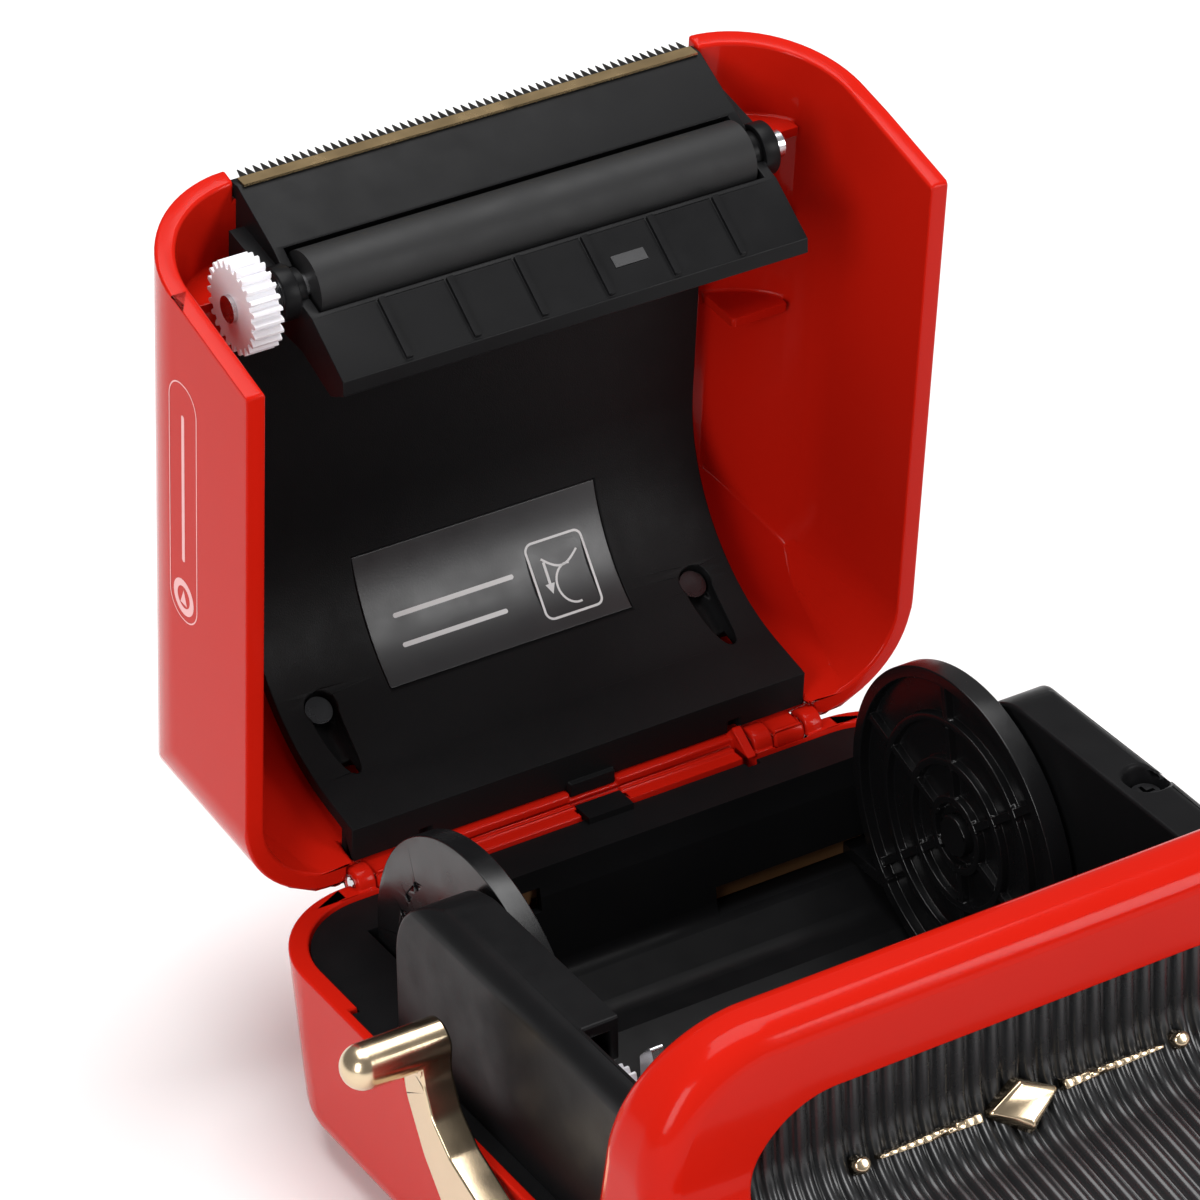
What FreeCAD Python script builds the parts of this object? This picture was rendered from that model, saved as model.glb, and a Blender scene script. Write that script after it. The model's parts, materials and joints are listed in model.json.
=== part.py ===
"""Desktop label maker with its lid open: a tub body with a raised ribbed front, a hinged lid that
carries the platen and tear blade, a centring pair of roll guides and a side release lever.

Working frame: x to the right, y = 0 at the tub's rear face (the front is -y), z = 0 at the tub's rim.
Everything is moved at the end so that the origin is the centre of the flat underside.
Lid pieces are drawn with the lid shut and then turned open about the hinge. Units are millimetres.
"""
import math
import os

import FreeCAD
import Part
from FreeCAD import Vector

# ---------------------------------------------------------------- overall sizes
WIDTH = 85.0            # outer width of tub and lid
DEPTH = 104.0           # rear face to toe
TUB_DEPTH = 23.5        # rim down to the underside of the tub
FOOT_HEIGHT = 1.5       # rubber feet below the tub
LID_HEIGHT = 30.7       # rim up to the crown of the lid
LID_LENGTH = 67.1       # hinge to the lid's front edge, at the rim
WALL = 2.2              # red shell walls
OPEN_ANGLE = 85.0       # lid angle as stored
LEAN = 0.2              # forward lean of the lid's front edge, per unit of height
REAR_LEAN = 0.165       # forward lean of the lid's rear wall
TOP_R = 14.5            # lid crown to side
REAR_R = 19.0           # lid crown to rear wall
PLAN_R = 12.0           # rear corners seen from above
FRONT_R = 14.0          # toe corners seen from above
DRAFT = 1.6             # tub narrows by this much on each side at the bottom
TUB_EDGE_R = 5.0        # tub side to underside
SEAM = 0.35             # gap between lid and rim
FIT = 0.15              # assembly gap between fixed pieces
RUN = 0.05              # radial running clearance of shafts and pins

# ---------------------------------------------------------------- front
BEZEL_TOP = 30.0
BEZEL_BACK = 67.6       # back face at the rim
BEZEL_ROUND = 3.3       # back edge rounding
BEZEL_WALL = 2.4
PANEL_HALF = 32.0       # half width of the ribbed panel's opening
PANEL_TOP = 20.8
PANEL_R = 11.0
RIB_PITCH = 2.05
RIB_WIDTH = 1.15
RIB_HEIGHT = 0.8

# ---------------------------------------------------------------- paper roll
ROLL_Y = -28.3
ROLL_Z = 0.9
CRADLE_R = 20.6
CRADLE_HALF = 32.2
GUIDE_R = 19.4
LOWER_BITE = 3.064       # how far the rack arms run in from the edge of their discs
UPPER_BITE = 2.516
GUIDE_INNER = 29.0      # inner face of each guide when fully apart
GUIDE_THICK = 2.6
GUIDE_STROKE = 17.6
RACK_MODULE = 0.6
PINION_TEETH = 10
PINION_Z = -8.2
RACK_Y = -7.2           # front face of both racks
RACK_THICK = 2.8

# ---------------------------------------------------------------- platen and gears
PLATEN_Y = -66.0
PLATEN_Z = 17.0
PLATEN_R = 3.9
PLATEN_HALF = 26.6
SHAFT_R = 1.5
GEAR_MODULE = 0.4
GEAR_FACE = 3.4
GEAR_X = -35.1          # outer face of the gear train
PLATEN_TEETH = 24
DRIVE_TEETH = 24
IDLER_TEETH = 36
MOTOR_TEETH = 12
DRIVE_DY = 5.2          # drive gear axis behind the shut platen's
MOTOR_Y = -79.0
MOTOR_Z = -1.0
MOTOR_R = 7.5
CARRIER_HALF = 28.4

# ---------------------------------------------------------------- lever
LEVER_Y = -64.0
LEVER_Z = -9.0
KNOB_Y = -42.2
KNOB_Z = 11.0
KNOB_R = 2.45
ARM_X = -46.6           # outer face of the arm
ARM_THICK = 3.6

# ---------------------------------------------------------------- side housings and inner cover
HOUSE_OUT = 39.3        # outer faces of both housings
HOUSE_IN = 32.4
HOUSE_TOP = 20.0
HOUSE_REAR = 26.5
HOUSE_ROUND = 9.5
HOUSE_WALL = 1.6
ARCH_Y = -28.8          # axis of the inner cover's hollow
ARCH_Z = 4.45
ARCH_R = 22.0
ARCH_TOP = 26.45
COVER_HALF = 29.0
COVER_THICK = 1.5

# ---------------------------------------------------------------- hinge
HINGE_R = 1.9
PIN_R = 0.8
BARRELS = [(-27.4, -23.4), (23.4, 27.4)]
KNUCKLES = [(-29.8, -27.6), (-23.2, -20.8), (20.8, 23.2), (27.6, 29.8)]
PIN_SPANS = [(-29.8, -20.8), (20.8, 29.8)]
STOP_TABS = [(-20.4, -19.2), (19.2, 20.4)]
BRIDGE = (-1.8, 3.9)    # black tab between the two stretches of open rim

HALF = WIDTH / 2
X_AXIS = Vector(1, 0, 0)
Y_AXIS = Vector(0, 1, 0)
Z_AXIS = Vector(0, 0, 1)
PLANES = {
    "yz": (lambda a, b, c: Vector(c, a, b), X_AXIS),
    "xz": (lambda a, b, c: Vector(a, c, b), Y_AXIS),
    "xy": (lambda a, b, c: Vector(a, b, c), Z_AXIS),
}


# ---------------------------------------------------------------- helpers
def outline(points, radii, plane, at):
    """Closed wire through 2-D points, each corner rounded by its radius."""
    place = PLANES[plane][0]
    count = len(points)
    radii = [radii] * count if isinstance(radii, (int, float)) else radii
    corners = []
    for i in range(count):
        prev = Vector(*points[i - 1], 0)
        here = Vector(*points[i], 0)
        after = Vector(*points[(i + 1) % count], 0)
        a = (prev - here).normalize()
        b = (after - here).normalize()
        if radii[i] <= 0:
            corners.append((here, None, here))
            continue
        half = math.acos(max(-1.0, min(1.0, a.dot(b)))) / 2
        reach = radii[i] / math.tan(half)
        bisector = (a + b).normalize()
        middle = here + bisector * (radii[i] / math.sin(half) - radii[i])
        corners.append((here + a * reach, middle, here + b * reach))
    edges = []
    for i in range(count):
        start, middle, end = corners[i]
        after = corners[(i + 1) % count][0]
        p = [place(v.x, v.y, at) for v in (start, end, after)]
        if middle is not None:
            edges.append(Part.Arc(p[0], place(middle.x, middle.y, at), p[1]).toShape())
        if p[1].distanceToPoint(p[2]) > 1e-6:
            edges.append(Part.makeLine(p[1], p[2]))
    return Part.Wire(edges)


def prism(points, radii, plane, low, high):
    face = Part.Face(outline(points, radii, plane, low))
    return face.extrude(PLANES[plane][1] * (high - low))


def box(x0, x1, y0, y1, z0, z1):
    return Part.makeBox(x1 - x0, y1 - y0, z1 - z0, Vector(x0, y0, z0))


def rod(r, x0, x1, y, z):
    """Cylinder along x."""
    return Part.makeCylinder(r, x1 - x0, Vector(x0, y, z), X_AXIS)


def post(r, z0, z1, x, y):
    """Cylinder along z."""
    return Part.makeCylinder(r, z1 - z0, Vector(x, y, z0), Z_AXIS)


def plan(inset, z, front=DEPTH):
    """Plan outline of the tub at height z, moved in by inset."""
    w = HALF - inset
    pts = [(-w, -inset), (w, -inset), (w, -front + inset), (-w, -front + inset)]
    rear = max(PLAN_R - inset, 1.0)
    toe = max(FRONT_R - inset, 1.0)
    return outline(pts, [rear, rear, toe, toe], "xy", z)


def tub_block(inset, z0, z1, front=DEPTH):
    """Drafted block between two heights, inset from the tub's outside."""
    lower = plan(inset + DRAFT * -z0 / TUB_DEPTH, z0, front)
    upper = plan(inset + DRAFT * -z1 / TUB_DEPTH, z1, front)
    return Part.makeLoft([lower, upper], True, True)


def front_shape(half, top, radius, low, y0, y1):
    """Rounded-top outline of lid and bezel, extruded from front to back."""
    pts = [(-half, low), (half, low), (half, top), (-half, top)]
    return prism(pts, [0, 0, radius, radius], "xz", y0, y1)


def gear_points(module, teeth, add=0.8, slack=0.035, phase=0.0):
    """Involute spur gear outline, 20 degree flanks, thinned for running play."""
    pitch = module * teeth / 2
    base = pitch * math.cos(math.radians(20))
    tip = pitch + add * module
    root = pitch - 1.15 * module

    def spread(r):
        c = base / max(r, base)
        return math.tan(math.acos(c)) - math.acos(c)

    half = math.pi / (2 * teeth) - slack / pitch + spread(pitch)
    steps = [max(root, base) + (tip - max(root, base)) * k / 4 for k in range(5)]
    flank = [(root, half)] + [(r, half - spread(r)) for r in steps]
    out = []
    for i in range(teeth):
        centre = phase + 2 * math.pi * i / teeth
        out += [(r, centre - a) for r, a in flank]
        out += [(r, centre + a) for r, a in reversed(flank)]
    return [(r * math.cos(a), r * math.sin(a)) for r, a in out]


def gear_along_x(module, teeth, x0, x1, y, z, phase=0.0):
    pts = [(y + a, z + b) for a, b in gear_points(module, teeth, phase=phase)]
    return prism(pts, 0, "yz", x0, x1)


def phase_for(driver_teeth, driver_phase, driven_teeth, angle):
    """Phase of a gear whose space faces a tooth of its driver along the line of centres."""
    offset = (angle - driver_phase) * driver_teeth
    return angle + math.pi + (offset + math.pi) / driven_teeth


def rack_points(x0, x1, pitch_z, back_z, offset, up):
    """Rack outline in the x-z plane with its teeth up or down."""
    pitch = math.pi * RACK_MODULE
    add = 0.5 * RACK_MODULE
    ded = 1.2 * RACK_MODULE
    slope = math.tan(math.radians(20))
    half = pitch / 4 - 0.04
    sign = 1 if up else -1
    pts = [(x0, back_z), (x0, pitch_z - sign * ded)]
    first = math.ceil((x0 + 1.0 - offset) / pitch)
    last = math.floor((x1 - 1.0 - offset) / pitch)
    for k in range(first, last + 1):
        c = offset + k * pitch
        pts.append((c - half - ded * slope, pitch_z - sign * ded))
        pts.append((c - half + add * slope, pitch_z + sign * add))
        pts.append((c + half - add * slope, pitch_z + sign * add))
        pts.append((c + half + ded * slope, pitch_z - sign * ded))
    pts += [(x1, pitch_z - sign * ded), (x1, back_z)]
    return pts


def screw(x, y, top, length, r=1.0, head_r=1.9, head=1.1):
    """Downward cross-head screw with its head's top at the given height."""
    body = post(head_r, top - head, top, x, y).fuse(post(r, top - head - length, top - head, x, y))
    cross = box(x - 1.1, x + 1.1, y - 0.22, y + 0.22, top - 0.6, top + 1)
    cross = cross.fuse(box(x - 0.22, x + 0.22, y - 1.1, y + 1.1, top - 0.6, top + 1))
    return body.cut(cross)


def try_fillet(shape, radius, picker):
    edges = [e for e in shape.Edges if picker(e)]
    if not edges:
        return shape
    rounded = shape.makeFillet(radius, edges)
    return rounded if rounded.isValid() and rounded.Volume > 0 else shape


parts = {}
lid = {}

# ---------------------------------------------------------------- tub
tub = tub_block(0, -TUB_DEPTH, 0)
tub = try_fillet(tub, TUB_EDGE_R, lambda e: e.BoundBox.ZMax < -TUB_DEPTH + 0.01)
OPENING = 8.5
bottom_hole = Part.Face(plan(OPENING, -TUB_DEPTH - 1)).extrude(Z_AXIS * (WALL + 2))
tub = tub.cut(tub_block(WALL, -TUB_DEPTH + WALL, 0)).cut(bottom_hole)
SHAFT_HOLE_R = SHAFT_R + 0.3
tub = tub.cut(rod(SHAFT_HOLE_R, -HALF - 1, -30, LEVER_Y, LEVER_Z))
USB_X = 24.0
USB_Z = -17.2
USB_HALF = 4.5
port_half = USB_HALF + FIT
port_high = 1.65 + FIT
port_hole = [(USB_X - port_half, USB_Z - port_high), (USB_X + port_half, USB_Z - port_high),
             (USB_X + port_half, USB_Z + port_high), (USB_X - port_half, USB_Z + port_high)]
tub = tub.cut(prism(port_hole, 1.6, "xz", -8, 2))
BUTTON_Y = -84.0
BUTTON_Z = -9.0
BUTTON_R = 3.6
tub = tub.cut(rod(BUTTON_R + 0.2, 30, HALF + 1, BUTTON_Y, BUTTON_Z))
LIGHT_Y = -92.0
LIGHT_R = 1.0
tub = tub.cut(rod(LIGHT_R + 0.05, 30, HALF + 1, LIGHT_Y, BUTTON_Z))
parts["body_shell"] = tub

cover = Part.Face(plan(OPENING + FIT, -TUB_DEPTH)).extrude(Z_AXIS * WALL)
SCREW_SPOTS = [(-29, -14), (29, -14), (-27, -90), (27, -90)]
for sx, sy in SCREW_SPOTS:
    cover = cover.cut(post(2.2, -TUB_DEPTH - 1, -TUB_DEPTH + 1.3, sx, sy))
    cover = cover.cut(post(1.2, -TUB_DEPTH, -TUB_DEPTH + 3, sx, sy))
FEET_SPOTS = [(-26, -24), (26, -24), (-26, -80), (26, -80), (0, -DEPTH / 2)]
FOOT_R = 5.0
parts["base_cover"] = cover
feet = []
for fx, fy in FEET_SPOTS:
    pad = post(FOOT_R, -TUB_DEPTH - FOOT_HEIGHT, -TUB_DEPTH, fx, fy)
    feet.append(try_fillet(pad, 0.5, lambda e: e.BoundBox.ZMax < -TUB_DEPTH - FOOT_HEIGHT + 0.01))
parts["rubber_feet"] = Part.makeCompound(feet)
fixings = []
for sx, sy in SCREW_SPOTS:
    s = screw(sx, sy, 0, 3.0, 1.0, 1.9, 1.0)
    s.rotate(Vector(sx, sy, 0), X_AXIS, 180)
    s.translate(Vector(0, 0, -TUB_DEPTH + 0.3))
    fixings.append(s)
parts["base_screws"] = Part.makeCompound(fixings)

# ---------------------------------------------------------------- front bezel
back_top = BEZEL_BACK + LEAN * BEZEL_TOP
side = [(-BEZEL_BACK, 0), (-back_top, BEZEL_TOP), (-81.0, BEZEL_TOP), (-81.6, 9.2),
        (-102.6, 5.6), (-DEPTH, 0)]
bezel = prism(side, [0, 0, 0, 8.5, 2.0, 0], "yz", -HALF, HALF)
bezel = bezel.common(front_shape(HALF, BEZEL_TOP, TOP_R, 0, -DEPTH - 1, -50))
bezel = bezel.common(Part.Face(plan(0, 0)).extrude(Z_AXIS * (BEZEL_TOP + 1)))


def on_back_face(e):
    ends = [v.Point for v in e.Vertexes]
    return e.BoundBox.ZMax > 1 and all(abs(p.y + BEZEL_BACK + LEAN * p.z) < 0.01 for p in ends)


bezel = try_fillet(bezel, BEZEL_ROUND, on_back_face)
hollow_side = [(-BEZEL_BACK - BEZEL_WALL, -1), (-back_top - BEZEL_WALL + 0.5, BEZEL_TOP - BEZEL_WALL),
               (-78.8, BEZEL_TOP - BEZEL_WALL), (-79.4, 7.2), (-100.8, 3.2), (-101.4, -1)]
hollow = prism(hollow_side, [0, 0, 2.5, 9.0, 0, 0], "yz", -HALF + BEZEL_WALL, HALF - BEZEL_WALL)
hollow_top = BEZEL_TOP - BEZEL_WALL
hollow = hollow.common(front_shape(HALF - BEZEL_WALL, hollow_top, TOP_R - BEZEL_WALL, -1, -DEPTH, -50))
hollow = hollow.common(Part.Face(plan(BEZEL_WALL, -1)).extrude(Z_AXIS * (BEZEL_TOP + 1)))
bezel = bezel.cut(hollow)
PANEL_LOW = 1.0
PANEL_FRONT = -101.0


def panel_shape(grow, y0, y1):
    half = PANEL_HALF + grow
    pts = [(-half, PANEL_LOW), (half, PANEL_LOW), (half, PANEL_TOP + grow), (-half, PANEL_TOP + grow)]
    return prism(pts, [0, 0, PANEL_R + grow, PANEL_R + grow], "xz", y0, y1)


bezel = bezel.cut(panel_shape(0, PANEL_FRONT, -77.0))
HEAD_HALF = 28.9
bezel = bezel.cut(box(-HEAD_HALF, HEAD_HALF, -76.6, -60, 4, 25.4))
bezel = bezel.cut(box(-37.8, -30.6, -78.5, -60, -1, 23.5))
parts["front_bezel"] = bezel

# ribbed panel following the bezel's hollow curve, with a ledge behind the opening's edge
FACE_RADII = [0, 8.0, 0, 0, 9.2, 0]


def panel_layer(front, behind):
    pts = [(-78.6 - front, 30), (-80.2 - front, 7.9 + front), (PANEL_FRONT - 1, 4.1 + front),
           (PANEL_FRONT - 1, 4.1 - behind), (-80.2 + behind, 7.9 - behind), (-78.6 + behind, 30)]
    return prism(pts, FACE_RADII, "yz", -HALF, HALF)


panel = panel_layer(0, 1.0).common(panel_shape(-FIT, PANEL_FRONT + FIT, -60))
strips = []
rib_count = int((2 * PANEL_HALF - 2) / RIB_PITCH)
for i in range(rib_count):
    rx = (i - (rib_count - 1) / 2) * RIB_PITCH
    strips.append(box(rx - RIB_WIDTH / 2, rx + RIB_WIDTH / 2, -DEPTH, -60, 0, 30))
ribs = panel_layer(RIB_HEIGHT, 0).common(panel_shape(-FIT - 0.3, PANEL_FRONT + FIT, -60))
ribs = ribs.common(Part.makeCompound(strips))
panel = panel.fuse(ribs)
parts["front_grille"] = panel

# gold ornament: slim bar with a centre lozenge and two beads, standing on the ribs
BADGE_Z = 13.0
bar = prism([(-17, BADGE_Z - 0.5), (17, BADGE_Z - 0.5), (17, BADGE_Z + 0.5), (-17, BADGE_Z + 0.5)], 0.45,
            "xz", -83.2, -80.2)
diamond = [(-4.2, BADGE_Z), (0, BADGE_Z - 2.6), (4.2, BADGE_Z), (0, BADGE_Z + 2.6)]
lozenge = prism(diamond, 0.4, "xz", -83.4, -80.2)
badge = bar.fuse(lozenge)
for bx in (-12.0, -8.5, 8.5, 12.0):
    badge = badge.fuse(Part.makeCylinder(0.95, 3.1, Vector(bx, -83.3, BADGE_Z), Y_AXIS))
badge = badge.cut(panel)
parts["badge_ornament"] = max(badge.Solids, key=lambda s: s.Volume)

# ---------------------------------------------------------------- inner frame
FRAME_GAP = WALL + FIT
FRAME_FRONT = 66.4
RIM_STEP = 1.0          # the deck widens by this much in front of the step
STEP_Y = -20.0
DECK_TOP = -0.6
DECK_LOW = -2.8
deck = tub_block(FRAME_GAP, DECK_LOW, DECK_TOP).cut(box(-50, 50, -DEPTH - 1, -FRAME_FRONT, -5, 1))
flange = tub_block(FRAME_GAP - RIM_STEP, DECK_LOW, DECK_TOP).common(box(-50, 50, -FRAME_FRONT, STEP_Y, -5, 1))
rabbet = tub_block(WALL - RIM_STEP, DECK_LOW - FIT, 0).common(
    box(-50, 50, -FRAME_FRONT - FIT, STEP_Y + FIT, DECK_LOW - FIT, 1))
parts["body_shell"] = parts["body_shell"].cut(rabbet)
core = box(-38.2, 38.2, -FRAME_FRONT, -4.4, -21.0, DECK_LOW)
core = core.common(tub_block(FRAME_GAP, -21.0, DECK_LOW))
frame = deck.fuse(flange).fuse(core)
WALL_TOP_Y = -7.9       # upper edge of the cradle's steep rear wall
WALL_LOW_Y = -9.4
cradle = rod(CRADLE_R, -CRADLE_HALF, CRADLE_HALF, ROLL_Y, ROLL_Z)
cradle = cradle.fuse(prism([(ROLL_Y, 2), (WALL_TOP_Y, 2), (WALL_TOP_Y, DECK_TOP), (WALL_LOW_Y, -13.6),
                            (-14.5, -17.0), (ROLL_Y, -17.5)], [0, 0, 0, 3.0, 4.0, 0], "yz",
                           -CRADLE_HALF, CRADLE_HALF))
frame = frame.cut(cradle)
CHAMBER_HALF = 35.4
CHAMBER_FRONT = RACK_Y - 0.3
CHAMBER_REAR = RACK_Y + RACK_THICK + 0.2
frame = frame.cut(box(-CHAMBER_HALF, CHAMBER_HALF, CHAMBER_FRONT, CHAMBER_REAR, -14.1, -2.8))
GUIDE_LOW = GUIDE_INNER - GUIDE_STROKE - 0.4
GUIDE_HIGH = GUIDE_INNER + GUIDE_THICK + 0.4
frame = frame.cut(box(GUIDE_LOW, GUIDE_HIGH, -16, CHAMBER_FRONT + 0.1, -13.7, -10.4))
frame = frame.cut(box(-GUIDE_HIGH, -GUIDE_LOW, -12, CHAMBER_FRONT + 0.1, -5.7, -2.8))
# bays below the deck: gear train, latch fingers, lever shaft, screw bosses
frame = frame.cut(box(-36.4, -30.7, -FRAME_FRONT - 1, -54.4, -9.0, 1))
for side_sign in (-1, 1):
    a, b = sorted((side_sign * 28.5, side_sign * 30.7))
    frame = frame.cut(box(a, b, -FRAME_FRONT - 1, -56.5, -12.5, 1))
frame = frame.cut(rod(SHAFT_R + RUN, -HALF, HALF, LEVER_Y, LEVER_Z))
frame = frame.cut(box(-34, 34, -FRAME_FRONT - 1, -56, -22, -13.0))
for sx, sy in SCREW_SPOTS[:2]:
    frame = frame.cut(post(1.0, -22, -17, sx, sy))
# raised floor plate and boss in front of the roll
plate = box(-24, 16, -54.6, -50.2, -0.61, 0.9)
frame = frame.fuse(plate)
frame = frame.cut(post(0.95, -8, 2, 22, -51.5))
BRIDGE_TOP = 0.2
frame = frame.fuse(box(*BRIDGE, -3.4, -0.4, -0.8, BRIDGE_TOP))
parts["inner_frame"] = frame.removeSplitter()

# ---------------------------------------------------------------- side housings
GEAR_WINDOW_Y = -59.2   # the left housing is open in front of this


def house_block(inset, low, x0, x1):
    """Side housing outline moved in by inset on top and rear, between two x values."""
    front = BEZEL_BACK - 0.4
    top = HOUSE_TOP - inset
    rear = -HOUSE_REAR - inset
    pts = [(-front, low), (-front - LEAN * HOUSE_TOP, top), (rear, top), (rear, low)]
    block = prism(pts, [0, 0, HOUSE_ROUND - inset, 0], "yz", x0, x1)
    return block.common(front_shape(HOUSE_OUT - inset, top, 2.8 - inset, low, -90, -20))


def hollow_front(block, x0, x1):
    """Opens the hollow toward the bezel."""
    return block.fuse(box(x0, x1, -80, -60, DECK_TOP - 1, HOUSE_TOP - HOUSE_WALL))


left_in = (-HOUSE_OUT + HOUSE_WALL, -HOUSE_IN - 1.2)
fin = house_block(0, DECK_TOP, -HOUSE_OUT, -HOUSE_IN)
fin = fin.cut(hollow_front(house_block(HOUSE_WALL, DECK_TOP - 1, *left_in), *left_in))
fin = fin.cut(box(-36.6, -30, -80, GEAR_WINDOW_Y, -3, HOUSE_TOP + 1))
fin = fin.cut(box(-36.6, -30, -80, GEAR_WINDOW_Y + 4.0, -3, 14.6))
parts["gear_cover"] = fin

HOUSE_SCREW = (36.2, -52.8)
SCREW_SEAT = 3.0        # depth of the screw's tapered recess
right_in = (HOUSE_IN + 1.2, HOUSE_OUT - HOUSE_WALL)
house = house_block(0, DECK_TOP, HOUSE_IN, HOUSE_OUT)
house = house.cut(house_block(HOUSE_WALL, DECK_TOP - 1, *right_in))
boss = box(HOUSE_IN + 1, HOUSE_OUT - 1, HOUSE_SCREW[1] - 3.2, HOUSE_SCREW[1] + 3.2, 6.0, HOUSE_TOP - 1)
house = house.fuse(boss)
house = house.cut(Part.makeCone(1.9, 2.6, SCREW_SEAT, Vector(*HOUSE_SCREW, HOUSE_TOP - SCREW_SEAT), Z_AXIS))
house = house.cut(post(0.85, HOUSE_TOP - 7.5, HOUSE_TOP, *HOUSE_SCREW))
parts["side_housing"] = house
DECK_SCREW = (22, -51.5)
parts["housing_screws"] = Part.makeCompound([
    screw(*HOUSE_SCREW, HOUSE_TOP - SCREW_SEAT + 1.1, 3.0, 0.85, 1.6, 1.1),
    screw(*DECK_SCREW, 0.5, 4.0, 0.95, 1.9, 1.1)])

# ---------------------------------------------------------------- roll guides
PITCH_R = RACK_MODULE * PINION_TEETH / 2
LOWER_PITCH = PINION_Z - PITCH_R
UPPER_PITCH = PINION_Z + PITCH_R


def guide(sign):
    """Flanged disc with a ribbed inner face; sign +1 is the right-hand one."""
    x0 = GUIDE_INNER
    x1 = GUIDE_INNER + GUIDE_THICK
    disc = rod(GUIDE_R, x0, x1, ROLL_Y, ROLL_Z)
    disc = disc.cut(rod(GUIDE_R - 1.4, x0 - 1, x0 + 1.3, ROLL_Y, ROLL_Z))
    for r in (14.0, 9.0, 4.6):
        ring = rod(r, x0 + 0.3, x1, ROLL_Y, ROLL_Z).cut(rod(r - 0.9, x0 - 1, x1 + 1, ROLL_Y, ROLL_Z))
        disc = disc.fuse(ring)
    disc = disc.fuse(rod(2.4, x0, x1, ROLL_Y, ROLL_Z))
    for k in range(6):
        spoke = box(x0 + 0.4, x1, ROLL_Y + 3.5, ROLL_Y + GUIDE_R - 0.8, ROLL_Z - 0.45, ROLL_Z + 0.45)
        spoke.rotate(Vector(0, ROLL_Y, ROLL_Z), X_AXIS, 60 * k + 20)
        disc = disc.fuse(spoke)
    for k in range(7):
        a = math.radians(150 + 12 * k)
        dy = 14.5 * math.cos(a)
        dz = 14.5 * math.sin(a)
        disc = disc.cut(rod(0.45, x1 - 0.5, x1 + 1, ROLL_Y - dy, ROLL_Z + abs(dz)))
    low, high, bite = (-2.3, -0.75, LOWER_BITE) if sign > 0 else (0.75, 2.0, UPPER_BITE)
    level = LOWER_PITCH if sign > 0 else UPPER_PITCH
    edge = ROLL_Y + math.sqrt(GUIDE_R ** 2 - (level - ROLL_Z) ** 2)
    arm = box(x0, x1, edge - bite, RACK_Y + 0.6, level + low, level + high)
    disc = disc.fuse(arm)
    return disc if sign > 0 else disc.mirror(Vector(0, 0, 0), X_AXIS)


RACK_END = GUIDE_INNER + GUIDE_THICK
half_pitch = math.pi * RACK_MODULE / 2
lower_teeth = rack_points(-8.0, RACK_END, LOWER_PITCH, LOWER_PITCH - 2.3, half_pitch, True)
upper_teeth = rack_points(-RACK_END, 8.0, UPPER_PITCH, UPPER_PITCH + 2.0, half_pitch, False)
lower_rack = prism(lower_teeth, 0, "xz", RACK_Y, RACK_Y + RACK_THICK)
upper_rack = prism(upper_teeth, 0, "xz", RACK_Y, RACK_Y + RACK_THICK)
right_disc = guide(1)
left_disc = guide(-1)
parts["guide_right"] = right_disc.cut(lower_rack)
parts["guide_left"] = left_disc.cut(upper_rack)
parts["rack_right"] = lower_rack
parts["rack_left"] = upper_rack
AXLE_R = 0.9
pinion_pts = gear_points(RACK_MODULE, PINION_TEETH, add=1.0, slack=0.06, phase=math.pi / 2)
pinion = prism([(a, PINION_Z + b) for a, b in pinion_pts], 0, "xz", RACK_Y + 0.1, RACK_Y + RACK_THICK - 0.2)
pinion = pinion.cut(Part.makeCylinder(AXLE_R + RUN, 20, Vector(0, -15, PINION_Z), Y_AXIS))
parts["centring_pinion"] = pinion
axle = Part.makeCylinder(AXLE_R, 4.6, Vector(0, CHAMBER_FRONT - 1.0, PINION_Z), Y_AXIS)
parts["inner_frame"] = parts["inner_frame"].cut(axle)
parts["pinion_axle"] = axle

# ---------------------------------------------------------------- gear train
reach = GEAR_MODULE * (PLATEN_TEETH + DRIVE_TEETH) / 2
DRIVE_Y = PLATEN_Y + DRIVE_DY
DRIVE_Z = PLATEN_Z - math.sqrt(reach ** 2 - DRIVE_DY ** 2)
di = GEAR_MODULE * (DRIVE_TEETH + IDLER_TEETH) / 2
mi = GEAR_MODULE * (MOTOR_TEETH + IDLER_TEETH) / 2
span = math.hypot(MOTOR_Y - DRIVE_Y, MOTOR_Z - DRIVE_Z)
along = (di ** 2 - mi ** 2 + span ** 2) / (2 * span)
off = math.sqrt(di ** 2 - along ** 2)
uy = (MOTOR_Y - DRIVE_Y) / span
uz = (MOTOR_Z - DRIVE_Z) / span
IDLER_Y = DRIVE_Y + along * uy - off * uz
IDLER_Z = DRIVE_Z + along * uz + off * uy
to_platen = math.atan2(PLATEN_Z - DRIVE_Z, PLATEN_Y - DRIVE_Y)
to_idler = math.atan2(IDLER_Z - DRIVE_Z, IDLER_Y - DRIVE_Y)
to_motor = math.atan2(MOTOR_Z - IDLER_Z, MOTOR_Y - IDLER_Y)
drive_phase = to_platen
platen_phase = phase_for(DRIVE_TEETH, drive_phase, PLATEN_TEETH, to_platen)
idler_phase = phase_for(DRIVE_TEETH, drive_phase, IDLER_TEETH, to_idler)
motor_phase = phase_for(IDLER_TEETH, idler_phase, MOTOR_TEETH, to_motor)
GEAR_END = GEAR_X + GEAR_FACE
drive = gear_along_x(GEAR_MODULE, DRIVE_TEETH, GEAR_X, GEAR_END, DRIVE_Y, DRIVE_Z, drive_phase)
idler = gear_along_x(GEAR_MODULE, IDLER_TEETH, GEAR_X, GEAR_END, IDLER_Y, IDLER_Z, idler_phase)
motor_gear = gear_along_x(GEAR_MODULE, MOTOR_TEETH, GEAR_X, GEAR_END, MOTOR_Y, MOTOR_Z, motor_phase)
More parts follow.
